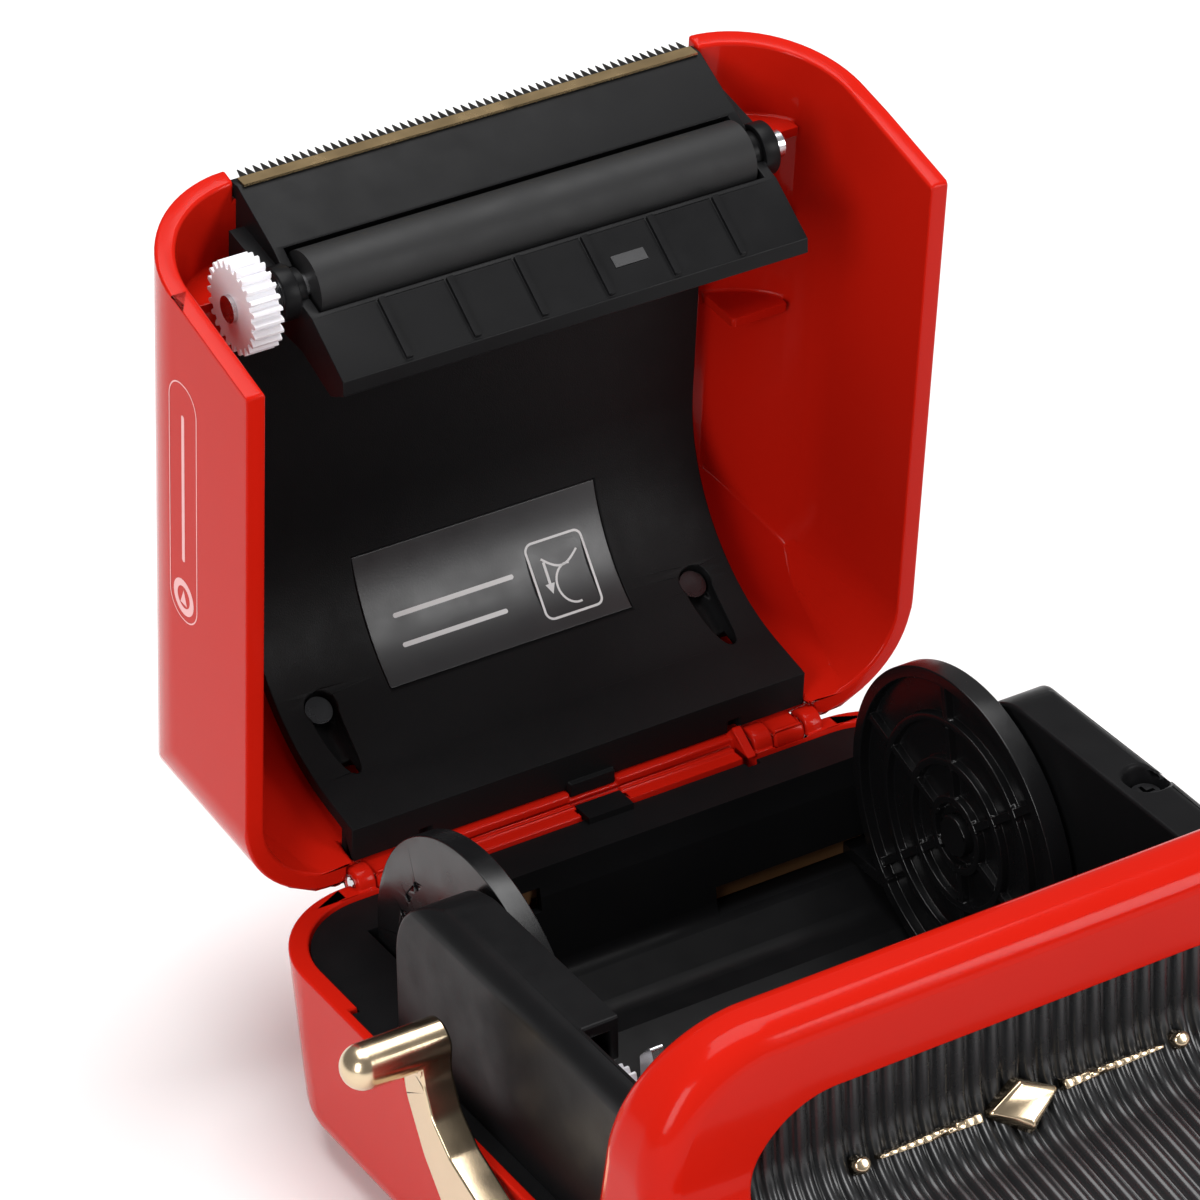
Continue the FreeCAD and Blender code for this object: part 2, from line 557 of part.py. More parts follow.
parts["drive_gear"] = drive.cut(rod(AXLE_R + RUN, -50, 0, DRIVE_Y, DRIVE_Z))
parts["idler_gear"] = idler.cut(rod(AXLE_R + RUN, -50, 0, IDLER_Y, IDLER_Z))
MOTOR_SHAFT_R = 0.75
parts["motor_pinion"] = motor_gear.cut(rod(MOTOR_SHAFT_R + RUN, -50, 0, MOTOR_Y, MOTOR_Z))
axle_ends = (-HOUSE_OUT + HOUSE_WALL, GEAR_END + 0.7)
parts["gear_axles"] = Part.makeCompound([
    rod(AXLE_R, *axle_ends, DRIVE_Y, DRIVE_Z),
    rod(AXLE_R, *axle_ends, IDLER_Y, IDLER_Z)])
MOTOR_X = -29.6
can = rod(MOTOR_R, MOTOR_X, MOTOR_X + 16, MOTOR_Y, MOTOR_Z)
can = can.fuse(rod(3.0, MOTOR_X - 1.0, MOTOR_X, MOTOR_Y, MOTOR_Z))
can = can.fuse(rod(MOTOR_SHAFT_R, GEAR_X - 0.4, MOTOR_X, MOTOR_Y, MOTOR_Z))
parts["stepper_motor"] = can

# ---------------------------------------------------------------- electronics
PCB_Z = -12.0
parts["main_pcb"] = box(-34, 34, -99, -75, PCB_Z, PCB_Z + 1.6)
parts["battery"] = prism([(-23, -99), (23, -99), (23, -75), (-23, -75)], 2.0, "xy", -20.9, -14.6)
tray = box(-33, 33, -99.0, -74.5, -14.4, -13.2)
for sx, sy in SCREW_SPOTS[2:]:
    tray = tray.fuse(post(3.0, -TUB_DEPTH + WALL, -14.0, sx, sy))
    tray = tray.cut(post(1.0, -TUB_DEPTH, -16.0, sx, sy))
for tx in (-31, 31):
    for ty in (-97, -77):
        tray = tray.fuse(post(1.8, -13.3, PCB_Z, tx, ty))
parts["pcb_tray"] = tray
usb = prism([(USB_X - USB_HALF, USB_Z - 1.65), (USB_X + USB_HALF, USB_Z - 1.65),
             (USB_X + USB_HALF, USB_Z + 1.65), (USB_X - USB_HALF, USB_Z + 1.65)], 1.55, "xz", -9.4, -1.6)
usb_inner = prism([(USB_X - USB_HALF + 0.35, USB_Z - 1.3), (USB_X + USB_HALF - 0.35, USB_Z - 1.3),
                   (USB_X + USB_HALF - 0.35, USB_Z + 1.3), (USB_X - USB_HALF + 0.35, USB_Z + 1.3)], 1.2,
                  "xz", -8.6, 0)
usb = usb.cut(usb_inner).fuse(box(USB_X - 3.0, USB_X + 3.0, -8.8, -3.0, USB_Z - 0.35, USB_Z + 0.35))
parts["usb_port"] = usb
port_room = box(USB_X - 5.2, USB_X + 5.2, -10, 0, USB_Z - 2.4, USB_Z + 2.4)
parts["inner_frame"] = parts["inner_frame"].cut(port_room)
wall_x = HALF - DRAFT * -BUTTON_Z / TUB_DEPTH
parts["status_light"] = rod(LIGHT_R, wall_x - 4.0, wall_x - 0.1, LIGHT_Y, BUTTON_Z)
key = rod(BUTTON_R, wall_x - 3.4, wall_x + 0.9, BUTTON_Y, BUTTON_Z)
key = key.fuse(rod(BUTTON_R + 0.9, wall_x - 3.4, wall_x - WALL - 0.35, BUTTON_Y, BUTTON_Z))
parts["power_button"] = key

# ---------------------------------------------------------------- print head behind the bezel
lean_deg = math.degrees(math.atan2(0.43, 0.9))
HEAD_GAP = 0.12


def head_piece(x0, x1, near, far, low, high):
    """Block in the head's own axes: near/far measured from the platen axis, low/high along the plate."""
    shape = box(x0, x1, PLATEN_Y - far, PLATEN_Y - near, PLATEN_Z + low, PLATEN_Z + high)
    shape.rotate(Vector(0, PLATEN_Y, PLATEN_Z), X_AXIS, lean_deg)
    return shape


parts["print_head"] = head_piece(-27.4, 27.4, PLATEN_R + HEAD_GAP, PLATEN_R + HEAD_GAP + 1.0, -5.0, 4.0)
bracket = head_piece(-28.0, 28.0, PLATEN_R + HEAD_GAP + 1.0, PLATEN_R + HEAD_GAP + 2.6, -6.5, 4.6)
parts["head_bracket"] = bracket
spring_base = []
for hx in (-16.0, 16.0):
    near = PLATEN_R + HEAD_GAP + 2.6
    spring_base.append(head_piece(hx - 1.6, hx + 1.6, near, near + 1.8, -3.0, 0.2))
parts["head_springs"] = Part.makeCompound(spring_base)

# ---------------------------------------------------------------- release lever
PIVOT_BOSS = 7.6
arm_path = [(-39.9, 11.2), (-41.0, 4.6), (-44.2, -1.0), (-50.0, -7.6),
            (LEVER_Y + 2.0, LEVER_Z - PIVOT_BOSS + 0.6), (LEVER_Y, LEVER_Z + PIVOT_BOSS),
            (-55.8, -0.6), (-49.6, 1.8), (-46.2, 4.6), (-44.6, 8.0), (-44.4, 11.2)]
arm = prism(arm_path, [0, 3, 6, 6, 0, 0, 6, 3, 3, 3, 0], "yz", ARM_X, ARM_X + ARM_THICK)
arm = arm.fuse(rod(PIVOT_BOSS, ARM_X, ARM_X + ARM_THICK, LEVER_Y, LEVER_Z))
knob = rod(KNOB_R, ARM_X - 5.4, ARM_X + ARM_THICK, KNOB_Y, KNOB_Z)
knob = knob.fuse(Part.makeSphere(KNOB_R, Vector(ARM_X - 5.4, KNOB_Y, KNOB_Z)))
lever = arm.fuse(knob)
shaft = rod(SHAFT_R, ARM_X + 0.6, 37.6, LEVER_Y, LEVER_Z)
parts["release_lever"] = lever.cut(shaft)
parts["latch_shaft"] = shaft
FINGER_IN = 28.9
FINGER_OUT = 30.3
fingers = []
for side_sign in (-1, 1):
    a, b = sorted((side_sign * FINGER_IN, side_sign * FINGER_OUT))
    f = prism([(LEVER_Y - 1.0, LEVER_Z), (LEVER_Y + 3.0, LEVER_Z), (-59.6, 14.6), (-61.6, 17.0),
               (-62.2, 15.4), (-61.6, 4.0)], [0, 0, 0.5, 0.4, 0.4, 0], "yz", a, b)
    f = f.fuse(rod(3.0, a, b, LEVER_Y, LEVER_Z)).cut(shaft)
    fingers.append(f)
parts["latch_fingers"] = Part.makeCompound(fingers)

# ---------------------------------------------------------------- lid, drawn shut
RISE = SEAM
rear_top = REAR_LEAN * LID_HEIGHT
lid_side = [(0, RISE), (-rear_top, LID_HEIGHT), (-LID_LENGTH - LEAN * LID_HEIGHT, LID_HEIGHT),
            (-LID_LENGTH - LEAN * RISE, RISE)]
outer = prism(lid_side, [0, REAR_R, 0, 0], "yz", -HALF, HALF)
outer = outer.common(front_shape(HALF, LID_HEIGHT, TOP_R, 0, -90, 10))
outer = outer.common(Part.Face(plan(0, 0, 160)).extrude(Z_AXIS * 40))
in_side = [(-WALL, -1), (-rear_top - WALL, LID_HEIGHT - WALL), (-90, LID_HEIGHT - WALL), (-90, -1)]
inner = prism(in_side, [0, REAR_R - WALL, 0, 0], "yz", -HALF + WALL, HALF - WALL)
inner = inner.common(front_shape(HALF - WALL, LID_HEIGHT - WALL, TOP_R - WALL, -1, -90, 10))
inner = inner.common(Part.Face(plan(WALL, -1, 160)).extrude(Z_AXIS * 40))
shell = outer.cut(inner)
NOTCH_HALF = 28.5
NOTCH_Y = -70.6
shell = shell.cut(box(-NOTCH_HALF, NOTCH_HALF, -80, NOTCH_Y, 20, 40))
# stiffening fins on the inside of both side walls and hinge barrels at the rear
for side_sign in (-1, 1):
    for fin_y, low in ((-63.0, 22.0), (-52.0, 22.0), (-40.0, 22.0)):
        a, b = sorted((side_sign * 30.7, side_sign * 38.0))
        web = box(a, b, fin_y - 0.6, fin_y + 0.6, low, LID_HEIGHT - 1.0)
        web = web.common(front_shape(HALF - 1, LID_HEIGHT - 1, TOP_R - 1, 0, -90, 10))
        shell = shell.fuse(web)
for x0, x1 in BARRELS:
    shell = shell.fuse(rod(HINGE_R, x0, x1, 0, 0))
for x0, x1 in KNUCKLES:
    shell = shell.cut(rod(HINGE_R + 0.3, x0 - 0.2, x1 + 0.2, 0, 0))
for x0, x1 in PIN_SPANS:
    shell = shell.cut(rod(PIN_R + RUN, x0 - 0.2, x1 + 0.2, 0, 0))
# thinner rear edge that seats the inner cover, a notch for its tab, and two stop tabs
EDGE_WALL = 1.2
shell = shell.cut(box(-COVER_HALF - FIT, COVER_HALF + FIT, -4.0, -EDGE_WALL, -1, 3.75))
shell = shell.cut(box(BRIDGE[0] - 0.1, BRIDGE[1] + 0.1, -EDGE_WALL - 0.1, -0.5, -1, 3.75))
STOP_REACH = 3.0
for x0, x1 in STOP_TABS:
    tab = [(-2.4, 0.9), (-0.26, -STOP_REACH + 0.05), (0.0, 0.4), (-0.6, 2.0)]
    shell = shell.fuse(prism(tab, 0, "yz", x0, x1))
lid["lid_shell"] = shell
tub = parts["body_shell"]
for x0, x1 in BARRELS:
    tub = tub.cut(rod(HINGE_R + 0.3, x0 - 0.2, x1 + 0.2, 0, 0))
for x0, x1 in KNUCKLES:
    foot = prism([(-HINGE_R, 0), (-HINGE_R, -1.5), (0, -HINGE_R - 1.4), (HINGE_R, 0)], 0, "yz", x0, x1)
    tub = tub.fuse(rod(HINGE_R, x0, x1, 0, 0).fuse(foot))
for x0, x1 in PIN_SPANS:
    tub = tub.cut(rod(PIN_R, x0, x1, 0, 0))
tub = tub.cut(box(BRIDGE[0] - FIT, BRIDGE[1] + FIT, -WALL - 0.2, -0.3, -0.9, 0.1))
# sealing ridge on the rear rim, and a lip behind it that the open lid rests over
RIDGE_SPANS = [(-19.0, -2.0), (4.1, 19.0)]
for x0, x1 in RIDGE_SPANS:
    tub = tub.fuse(box(x0, x1, -0.6, 0.12, -0.5, 0.25))
LIP_HALF = 19.0
LIP_OUT = 0.8
tub = tub.fuse(box(-LIP_HALF, LIP_HALF, -0.3, LIP_OUT, -1.0, -0.05))
for x0, x1 in STOP_TABS:
    slot = rod(STOP_REACH + 0.3, x0 - 0.2, x1 + 0.2, 0, 0)
    tub = tub.cut(slot)
    parts["inner_frame"] = parts["inner_frame"].cut(slot)
parts["body_shell"] = tub
parts["hinge_pins"] = Part.makeCompound([rod(PIN_R, x0, x1, 0, 0) for x0, x1 in PIN_SPANS])

# cutter carrier with the roller's pocket
carrier = prism([(-57.6, 28.3), (NOTCH_Y - 0.2, 28.3), (NOTCH_Y - 0.2, 29.6), (-72.5, 29.6), (-72.6, 27.9),
                 (-69.3, 20.4), (-66.2, 15.0), (-65.4, 12.0), (-61.5, 5.5), (-59.8, 5.3), (-58.2, 8.0),
                 (-60.2, 14.0), (-60.2, 24.5), (-57.6, 26.2)], 0, "yz", -CARRIER_HALF, CARRIER_HALF)
carrier = carrier.cut(rod(PLATEN_R + 0.5, -PLATEN_HALF - 0.6, PLATEN_HALF + 0.6, PLATEN_Y, PLATEN_Z))
EAR_OUT = 30.2
for side_sign in (-1, 1):
    a, b = sorted((side_sign * CARRIER_HALF, side_sign * EAR_OUT))
    ear = rod(3.0, a, b, PLATEN_Y, PLATEN_Z).fuse(
        prism([(-67.5, 18.0), (-68.6, 26.5), (-62.0, 26.5), (-64.0, 18.0)], 0, "yz", a, b))
    carrier = carrier.fuse(ear)
BUSH_R = 2.3
carrier = carrier.cut(rod(BUSH_R, -EAR_OUT - 1, EAR_OUT + 1, PLATEN_Y, PLATEN_Z))
# six grooves above the roller and six guide ribs below it
GUIDE_PITCH = 8.15
for i in range(6):
    gx = (i - 2.5) * GUIDE_PITCH
    cut = prism([(-72.9, 26.6), (-70.0, 20.0), (-69.6, 20.0), (-72.4, 26.6)], 0, "yz", gx - 0.5, gx + 0.5)
    carrier = carrier.cut(cut)
    rib = prism([(-61.4, 5.9), (-65.2, 12.0), (-65.9, 11.8), (-62.1, 5.6)], 0, "yz", gx - 0.4, gx + 0.4)
    carrier = carrier.fuse(rib)
lid["cutter_carrier"] = carrier

# toothed tear blade along the carrier's front edge
BLADE_HALF = 27.8
TOOTH_PITCH = 0.93
teeth = [(-BLADE_HALF, 27.4)]
count = int(2 * BLADE_HALF / TOOTH_PITCH)
start = -count * TOOTH_PITCH / 2
for i in range(count):
    teeth.append((start + i * TOOTH_PITCH, 29.4))
    teeth.append((start + (i + 0.5) * TOOTH_PITCH, 30.6))
teeth += [(start + count * TOOTH_PITCH, 29.4), (BLADE_HALF, 27.4)]
blade = prism(teeth, 0, "xz", -72.88, -72.62)
blade = blade.cut(lid["cutter_carrier"])
lid["tear_blade"] = max(blade.Solids, key=lambda s: s.Volume)

SENSOR_X = 8.0
window_side = [(-63.2, 8.2), (-64.9, 11.4), (-64.5, 11.6), (-62.8, 8.4)]
window = prism(window_side, 0, "yz", SENSOR_X - 2.0, SENSOR_X + 2.0)
lid["cutter_carrier"] = lid["cutter_carrier"].cut(window)
lid["sensor_window"] = window

bushes = []
for side_sign in (-1, 1):
    a, b = sorted((side_sign * (PLATEN_HALF + 0.7), side_sign * EAR_OUT))
    bush = rod(BUSH_R - 0.02, a, b, PLATEN_Y, PLATEN_Z).cut(rod(SHAFT_R + RUN, -50, 50, PLATEN_Y, PLATEN_Z))
    bushes.append(bush)
lid["platen_bushings"] = Part.makeCompound(bushes)

# curved inner cover over the roll, its info plate and two screws
ARCH_FOOT = (-6.15, 1.2)
ARCH_CORNER = (-9.56, ARCH_TOP)
OUT_R = ARCH_R + COVER_THICK
cover_side = [ARCH_FOOT, ARCH_CORNER, (-57.0, ARCH_TOP), (-57.0, ARCH_TOP + COVER_THICK),
              (-7.9, ARCH_TOP + COVER_THICK), (-4.8, 3.6),
              (-EDGE_WALL - FIT, 3.6), (-EDGE_WALL - FIT, ARCH_FOOT[1])]
inner_cover = prism(cover_side, [0, ARCH_R, 0, 0, OUT_R, 0, 0, 0], "yz", -COVER_HALF, COVER_HALF)
inner_cover = inner_cover.fuse(box(*BRIDGE, -2.4, -0.65, 0.6, 3.6))
for x0, x1 in PIN_SPANS:
    inner_cover = inner_cover.cut(rod(HINGE_R + 0.3, x0 - 0.4, x1 + 0.4, 0, 0))
for x0, x1 in STOP_TABS:
    inner_cover = inner_cover.cut(box(x0 - 0.2, x1 + 0.2, -3.0, 0.5, 0, 2.3))
SCREW_X = 24.1
slope = math.radians(34.0)
INWARD = Vector(0, -math.cos(slope), -math.sin(slope))
SPOT = Vector(0, ARCH_Y, ARCH_Z) - INWARD * ARCH_R
DOWNHILL = Vector(0, -INWARD.z, INWARD.y)
POCKET_RUN = DOWNHILL + INWARD * 0.18
cover_back = rod(OUT_R + 1.6, -COVER_HALF, COVER_HALF, ARCH_Y, ARCH_Z).cut(
    rod(ARCH_R + 0.2, -COVER_HALF - 1, COVER_HALF + 1, ARCH_Y, ARCH_Z))
cover_screws = []
for sx in (-SCREW_X, SCREW_X):
    here = Vector(sx, SPOT.y, SPOT.z)
    boss = Part.makeCylinder(3.4, 2.8, here - INWARD * 3.6, INWARD)
    keel = Part.makeCylinder(2.5, 7.0, here - INWARD * 1.9 - DOWNHILL * 0.5, POCKET_RUN)
    inner_cover = inner_cover.fuse(boss.fuse(keel).common(cover_back))
    trench = Part.makeCone(1.9, 1.1, 9.0, here - INWARD * 0.9, POCKET_RUN)
    hole = Part.makeCylinder(1.9, 9.0, here - INWARD * 1.6, INWARD)
    inner_cover = inner_cover.cut(hole).cut(trench)
    shank = Part.makeCylinder(0.8, 1.0, here - INWARD * 2.6, INWARD)
    head = Part.makeCylinder(1.6, 0.7, here - INWARD * 1.6, INWARD)
    inner_cover = inner_cover.cut(shank)
    cover_screws.append(head.fuse(shank))
lid["cover_screws"] = Part.makeCompound(cover_screws)
INFO_HALF = 15.5
INFO_DEPTH = 0.5


def info_band(r0, r1, grow):
    """Curved plate between two radii of the cover's hollow."""
    half = INFO_HALF + grow
    band = rod(r1, -half, half, ARCH_Y, ARCH_Z).cut(rod(r0, -half - 1, half + 1, ARCH_Y, ARCH_Z))
    return band.common(box(-half, half, -22.0 - grow, -10.2 + grow, 14.0, ARCH_TOP + 3))


lid["info_plate"] = info_band(ARCH_R + 0.1, ARCH_R + INFO_DEPTH, 0)
lid["inner_cover"] = inner_cover.cut(info_band(ARCH_R - 0.5, ARCH_R + INFO_DEPTH, 0.1))

platen_shaft = rod(SHAFT_R, GEAR_X - 0.5, EAR_OUT + 1.6, PLATEN_Y, PLATEN_Z)
lid["platen_shaft"] = platen_shaft
lid["platen_rubber"] = rod(PLATEN_R, -PLATEN_HALF, PLATEN_HALF, PLATEN_Y, PLATEN_Z).cut(platen_shaft)
gear = gear_along_x(GEAR_MODULE, PLATEN_TEETH, GEAR_X, GEAR_X + GEAR_FACE, PLATEN_Y, PLATEN_Z, platen_phase)
lid["platen_gear"] = gear.cut(platen_shaft)

# ---------------------------------------------------------------- place and write
for name, shape in lid.items():
    opened = shape.copy()
    opened.rotate(Vector(0, 0, 0), X_AXIS, -OPEN_ANGLE)
    parts[name] = opened

SHIFT = Vector(0, DEPTH / 2, TUB_DEPTH + FOOT_HEIGHT)
os.makedirs("parts", exist_ok=True)
for name, shape in parts.items():
    moved = shape.copy()
    moved.translate(SHIFT)
    moved.exportStep("parts/" + name + ".step")
    print(name, len(shape.Solids), round(shape.Volume, 2), shape.isValid())
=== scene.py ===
"""Looks for the desktop label maker: materials, detailed pieces, light and camera.

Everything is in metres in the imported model's own frame: x right, -y to the ribbed front, z up.
Lid details are drawn with the lid shut, in millimetres from the hinge axis, then turned open.
"""
import json
import math

import bpy
import bmesh
from mathutils import Matrix, Vector
from mathutils.bvhtree import BVHTree


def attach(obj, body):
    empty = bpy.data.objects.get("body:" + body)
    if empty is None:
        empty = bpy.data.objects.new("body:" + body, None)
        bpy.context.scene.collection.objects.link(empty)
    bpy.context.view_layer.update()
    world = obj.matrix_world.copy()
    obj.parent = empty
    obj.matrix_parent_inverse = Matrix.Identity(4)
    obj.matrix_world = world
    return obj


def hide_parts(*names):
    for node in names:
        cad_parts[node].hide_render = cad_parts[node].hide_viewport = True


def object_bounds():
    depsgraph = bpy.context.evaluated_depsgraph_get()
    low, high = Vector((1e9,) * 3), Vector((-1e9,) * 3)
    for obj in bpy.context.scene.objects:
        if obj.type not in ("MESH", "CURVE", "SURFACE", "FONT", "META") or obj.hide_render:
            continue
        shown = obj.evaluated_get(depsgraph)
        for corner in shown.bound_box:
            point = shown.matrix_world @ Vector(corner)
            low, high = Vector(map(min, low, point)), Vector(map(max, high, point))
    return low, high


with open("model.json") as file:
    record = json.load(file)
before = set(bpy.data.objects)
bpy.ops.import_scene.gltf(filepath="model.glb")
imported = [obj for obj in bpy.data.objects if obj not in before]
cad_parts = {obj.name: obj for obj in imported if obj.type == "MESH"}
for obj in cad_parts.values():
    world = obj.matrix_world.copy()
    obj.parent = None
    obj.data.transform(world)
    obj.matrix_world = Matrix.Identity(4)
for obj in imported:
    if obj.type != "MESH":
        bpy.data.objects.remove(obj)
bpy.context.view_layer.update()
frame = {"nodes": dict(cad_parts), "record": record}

MM = 0.001
HINGE = Vector((0.0, 52.0, 25.0))       # hinge axis, mm
LID_TURN = Matrix.Rotation(math.radians(-85.0), 4, "X")


# ---------------------------------------------------------------- materials
def noise(nodes, links, scale, detail=3.0, rough=0.55):
    coords = nodes.new("ShaderNodeTexCoord")
    tex = nodes.new("ShaderNodeTexNoise")
    tex.inputs["Scale"].default_value = scale
    tex.inputs["Detail"].default_value = detail
    tex.inputs["Roughness"].default_value = rough
    links.new(coords.outputs["Object"], tex.inputs["Vector"])
    return tex


def spread(nodes, links, source, low, high, from_low=0.3, from_high=0.7):
    ramp = nodes.new("ShaderNodeMapRange")
    ramp.inputs["From Min"].default_value = from_low
    ramp.inputs["From Max"].default_value = from_high
    ramp.inputs["To Min"].default_value = low
    ramp.inputs["To Max"].default_value = high
    links.new(source, ramp.inputs["Value"])
    return ramp


def material(name, color, rough, rough_swing=0.05, metal=0.0, grain=None, grain_depth=0.02, mottle=0.06,
             mottle_scale=90.0, sss=0.0, specular=0.5, haze=250.0, coat=0.0):
    """Principled material with procedural colour drift, roughness haze and surface grain."""
    mat = bpy.data.materials.new(name)
    mat.use_nodes = True
    nodes = mat.node_tree.nodes
    links = mat.node_tree.links
    shader = nodes["Principled BSDF"]
    shader.inputs["Metallic"].default_value = metal
    shader.inputs["Specular IOR Level"].default_value = specular
    shader.inputs["Coat Weight"].default_value = coat
    shader.inputs["Coat Roughness"].default_value = 0.04
    if sss:
        shader.inputs["Subsurface Weight"].default_value = sss
        shader.inputs["Subsurface Radius"].default_value = (0.9, 0.8, 0.7)
        shader.inputs["Subsurface Scale"].default_value = 0.0012
    drift = noise(nodes, links, mottle_scale, 4.0)
    mix = nodes.new("ShaderNodeMix")
    mix.data_type = "RGBA"
    mix.inputs["A"].default_value = (*[c * (1 - mottle) for c in color], 1)
    mix.inputs["B"].default_value = (*[min(1.0, c * (1 + mottle)) for c in color], 1)
    links.new(drift.outputs["Fac"], mix.inputs["Factor"])
    links.new(mix.outputs["Result"], shader.inputs["Base Color"])
    cloud = noise(nodes, links, haze, 5.0)
    swing = spread(nodes, links, cloud.outputs["Fac"], max(0.02, rough - rough_swing), rough + rough_swing)
    links.new(swing.outputs["Result"], shader.inputs["Roughness"])
    if grain:
        pits = noise(nodes, links, grain, 2.0, 0.6)
        bump = nodes.new("ShaderNodeBump")
        bump.inputs["Strength"].default_value = 1.0
        bump.inputs["Distance"].default_value = grain_depth * MM
        links.new(pits.outputs["Fac"], bump.inputs["Height"])
        links.new(bump.outputs["Normal"], shader.inputs["Normal"])
    return mat


RED = material("red_gloss", (0.50, 0.0100, 0.0038), 0.15, 0.03, specular=0.07, grain=300, grain_depth=0.006,
               mottle=0.03, coat=0.05)
BLACK_TEXTURE = material("black_spark_texture", (0.0075, 0.0075, 0.008), 0.46, 0.06, specular=0.10,
                         grain=6500, grain_depth=0.030)
BLACK_SATIN = material("black_satin", (0.0065, 0.0065, 0.007), 0.36, 0.07, specular=0.09, grain=3000,
                       grain_depth=0.005)
BLACK_DISC = material("black_polished", (0.0060, 0.0060, 0.0065), 0.24, 0.06, specular=0.35, grain=2500,
                      grain_depth=0.003)
GRILLE = material("grille_satin", (0.014, 0.0145, 0.0155), 0.27, 0.05, specular=0.5, grain=2500,
                  grain_depth=0.003)
GOLD = material("champagne_gold", (0.66, 0.52, 0.35), 0.22, 0.05, metal=1.0, grain=2600, grain_depth=0.003)
BLADE = material("blade_gold", (0.70, 0.50, 0.26), 0.24, 0.06, metal=1.0, grain=2000, grain_depth=0.003)
TEETH = material("blade_dark_teeth", (0.060, 0.055, 0.050), 0.30, 0.08, metal=1.0, grain=2000,
                 grain_depth=0.003)
NYLON = material("white_nylon", (0.80, 0.79, 0.82), 0.38, 0.05, sss=0.3, grain=1800, grain_depth=0.004)
RUBBER = material("platen_rubber", (0.012, 0.012, 0.0125), 0.55, 0.06, specular=0.3, grain=5000,
                  grain_depth=0.008)
STEEL = material("turned_steel", (0.62, 0.62, 0.64), 0.24, 0.08, metal=1.0, grain=2400, grain_depth=0.003)
SCREW = material("blackened_steel", (0.055, 0.055, 0.058), 0.30, 0.08, metal=1.0, grain=2400,
                 grain_depth=0.004)
ACETAL = material("amber_acetal", (0.17, 0.085, 0.035), 0.40, 0.05, sss=0.15, grain=1500, grain_depth=0.003)
BOARD = material("board_green", (0.01, 0.09, 0.03), 0.35, 0.08, grain=2200, grain_depth=0.004)
FOIL = material("battery_foil", (0.28, 0.29, 0.31), 0.42, 0.1, metal=0.6, grain=900, grain_depth=0.02)
CERAMIC = material("head_glaze", (0.10, 0.09, 0.085), 0.2, 0.05, grain=1500, grain_depth=0.002)
ALUMINIUM = material("plain_aluminium", (0.66, 0.66, 0.68), 0.34, 0.08, metal=1.0, grain=1800,
                     grain_depth=0.004)
FOOT = material("foot_rubber", (0.02, 0.02, 0.02), 0.7, 0.08, grain=2600, grain_depth=0.02)
LENS = material("light_lens", (0.75, 0.85, 0.92), 0.15, 0.03, sss=0.3, grain=900, grain_depth=0.002)
INFO = material("info_grey", (0.020, 0.020, 0.0215), 0.36, 0.05, specular=0.5, grain=4000, grain_depth=0.006)
PRINT = material("white_print", (0.66, 0.66, 0.66), 0.5, 0.05, grain=2000, grain_depth=0.002)
PINK_PRINT = material("pale_print", (0.80, 0.42, 0.42), 0.45, 0.05, grain=2000, grain_depth=0.002)
FLOOR = material("studio_floor", (0.90, 0.90, 0.90), 0.8, 0.04, specular=0.1, grain=60, grain_depth=0.05,
                 mottle=0.01, mottle_scale=6)

LOOKS = {
    RED: ["body_shell", "base_cover", "front_bezel", "lid_shell"],
    BLACK_TEXTURE: ["inner_cover"],
    BLACK_SATIN: ["inner_frame", "gear_cover", "side_housing", "pcb_tray", "cutter_carrier",
                  "platen_bushings"],
    BLACK_DISC: ["guide_right", "guide_left"],
    GRILLE: ["front_grille"],
    GOLD: ["badge_ornament", "release_lever", "power_button"],
    BLADE: ["tear_blade"],
    NYLON: ["centring_pinion", "drive_gear", "idler_gear", "motor_pinion", "platen_gear"],
    RUBBER: ["platen_rubber"],
    STEEL: ["base_screws", "pinion_axle", "gear_axles", "stepper_motor", "usb_port", "head_springs",
            "latch_shaft", "latch_fingers", "hinge_pins", "platen_shaft"],
    SCREW: ["cover_screws", "housing_screws"],
    ACETAL: ["rack_right", "rack_left"],
    BOARD: ["main_pcb"],
    FOIL: ["battery"],
    CERAMIC: ["print_head"],
    ALUMINIUM: ["head_bracket"],
    FOOT: ["rubber_feet"],
    LENS: ["status_light"],
    INFO: ["info_plate", "sensor_window"],
}
look_of = {}
for mat, names in LOOKS.items():
    for name in names:
        look_of[name] = mat
        obj = frame["nodes"][name]
        obj.data.materials.clear()
        obj.data.materials.append(mat)
body_of = {node: body for body, nodes in frame["record"]["behaviour"]["bodies"].items() for node in nodes}


# ---------------------------------------------------------------- helpers for pieces
def add_piece(name, mesh, mats, body, replaces=()):
    for mat in mats:
        mesh.materials.append(mat)
    obj = bpy.data.objects.new(name, mesh)
    bpy.context.collection.objects.link(obj)
    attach(obj, body)
    if replaces:
        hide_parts(*replaces)
    return obj


def baked(obj):
    """The object's mesh with its modifiers applied."""
    graph = bpy.context.evaluated_depsgraph_get()
    mesh = bpy.data.meshes.new_from_object(obj.evaluated_get(graph), depsgraph=graph)
    obj.modifiers.clear()
    obj.data = mesh


